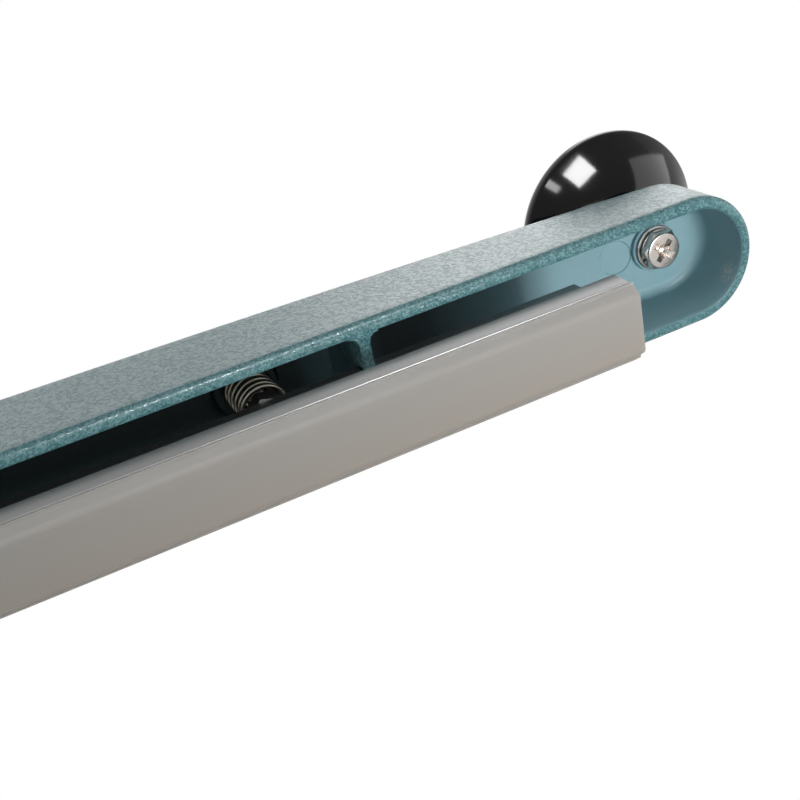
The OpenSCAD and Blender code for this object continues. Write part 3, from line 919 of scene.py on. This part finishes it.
# The directions to its right, up and back.
CAMERA_AXES = ((0.88904, 0.1848, -0.41887), (0.34972, -0.86458, 0.36082), (-0.29547, -0.46728, -0.83328))
lens = bpy.data.cameras.new("camera")
lens.lens, lens.sensor_width = 56.0, 36.0
lens.clip_start, lens.clip_end = 0.01, 20.0
camera = bpy.data.objects.new("camera", lens)
bpy.context.scene.collection.objects.link(camera)
turn = Matrix([Vector(axis) for axis in CAMERA_AXES]).transposed()
camera.matrix_world = Matrix.Translation(CAMERA_AT) @ turn.to_4x4()
bpy.context.scene.camera = camera
print("camera looks along", [round(-v, 3) for v in CAMERA_AXES[2]])

# %% Floor and world
FLOOR_Z, SKY = -0.45, 0.28


def seen_rays(f):
    """1 for a ray that shows the background: from the camera, off a gloss or through glass."""
    path = f.node("ShaderNodeLightPath")
    return path["Is Camera Ray"].max(path["Is Glossy Ray"]).max(path["Is Transmission Ray"])


def floor(half=4):
    """A plain square, partly lit by the lamps and partly white by itself."""
    mesh = bpy.data.meshes.new("floor")
    corners = [(x * half, y * half, FLOOR_Z) for x, y in ((-1, -1), (1, -1), (1, 1), (-1, 1))]
    mesh.from_pydata(corners, [], [[0, 1, 2, 3]])
    thing = bpy.data.objects.new("floor", mesh)
    bpy.context.scene.collection.objects.link(thing)
    f = Finish("pale_floor")
    matt = f.node("ShaderNodeBsdfDiffuse", {}, {"Color": (0.80, 0.80, 0.80, 1)})["BSDF"]
    white = f.node("ShaderNodeEmission", {}, {"Color": (1, 1, 1, 1), "Strength": 1.0})["Emission"]
    paint = f.node("ShaderNodeMixShader", {}, {0: seen_rays(f) * 0.72, 1: matt, 2: white})["Shader"]
    f.node("ShaderNodeOutputMaterial", {}, {"Surface": paint})
    mesh.materials.append(f.material)


floor()
WORLD = bpy.data.worlds.new("studio")
bpy.context.scene.world = WORLD
WORLD.use_nodes = True
sky = Finish("studio", WORLD.node_tree)
level = seen_rays(sky) * (1 - SKY) + SKY
light = sky.node("ShaderNodeBackground", {}, {"Color": (1, 1, 1, 1), "Strength": level})
sky.node("ShaderNodeOutputWorld", {}, {"Surface": light["Background"]})
bpy.context.scene.view_settings.view_transform = "Standard"
print("world: white to the eye,", SKY, "as a lamp")

# %% [markdown]
# ## Lamps
# A picture of the studio could light the scene, but area lamps are easier to place one by one.
# The key hangs high past the round end and lights the near wall from above. Four lamps below
# and beside the arm lift the faces that the camera sees. The one in front would show as a patch
# in the knob, so it is left out of reflections. Three more are seen in reflections alone, where
# they give the knob and the coat their highlights: a window, a narrow slit and a large card.

# %% Lamps
def lamp(name, at, aim, level, width, height, turn=0):
    """An area lamp; level is its brightness, where 1 is as bright as a white page."""
    data = bpy.data.lights.new(name, "AREA")
    data.shape, data.size, data.size_y = "RECTANGLE", width, height
    data.energy = math.pi * width * height * level
    thing = bpy.data.objects.new(name, data)
    thing.location = at
    facing = (Vector(aim) - Vector(at)).to_track_quat("-Z", "Y").to_matrix().to_4x4()
    thing.rotation_euler = (facing @ Matrix.Rotation(math.radians(turn), 4, "Z")).to_euler()
    thing.visible_camera = False
    bpy.context.scene.collection.objects.link(thing)
    return thing


MIDDLE, ROUND_END = (0.19, 0.0, 0.0), (0.26, 0.0, 0.0)
BRIM = (0.2525, -0.0167, 0.0175)    # the point of the knob that the reflections are placed for
lamp("key", (0.74, -0.36, 0.76), MIDDLE, 1.45, 0.6, 0.6)
lamp("under_end", (0.285, -0.005, -0.27), ROUND_END, 14.0, 0.10, 0.10)
lamp("under_side", (0.31, 0.0, -0.26), ROUND_END, 3.0, 0.12, 0.12)
lamp("under_bar", (0.15, 0.0, -0.27), (0.15, 0.0, 0.0), 1.2, 0.30, 0.08)
lamp("front", (0.30, -0.58, -0.10), MIDDLE, 3.2, 0.30, 0.30).visible_glossy = False
for shown in (lamp("window", (0.229, -0.290, -0.204), BRIM, 65.0, 0.15, 0.10, turn=19),
              lamp("slit", (0.042, -0.282, -0.1975), BRIM, 25.0, 0.05, 0.10),
              lamp("card", (0.640, -0.060, -0.155), BRIM, 3.2, 0.36, 0.30, turn=50)):
    shown.visible_diffuse = False
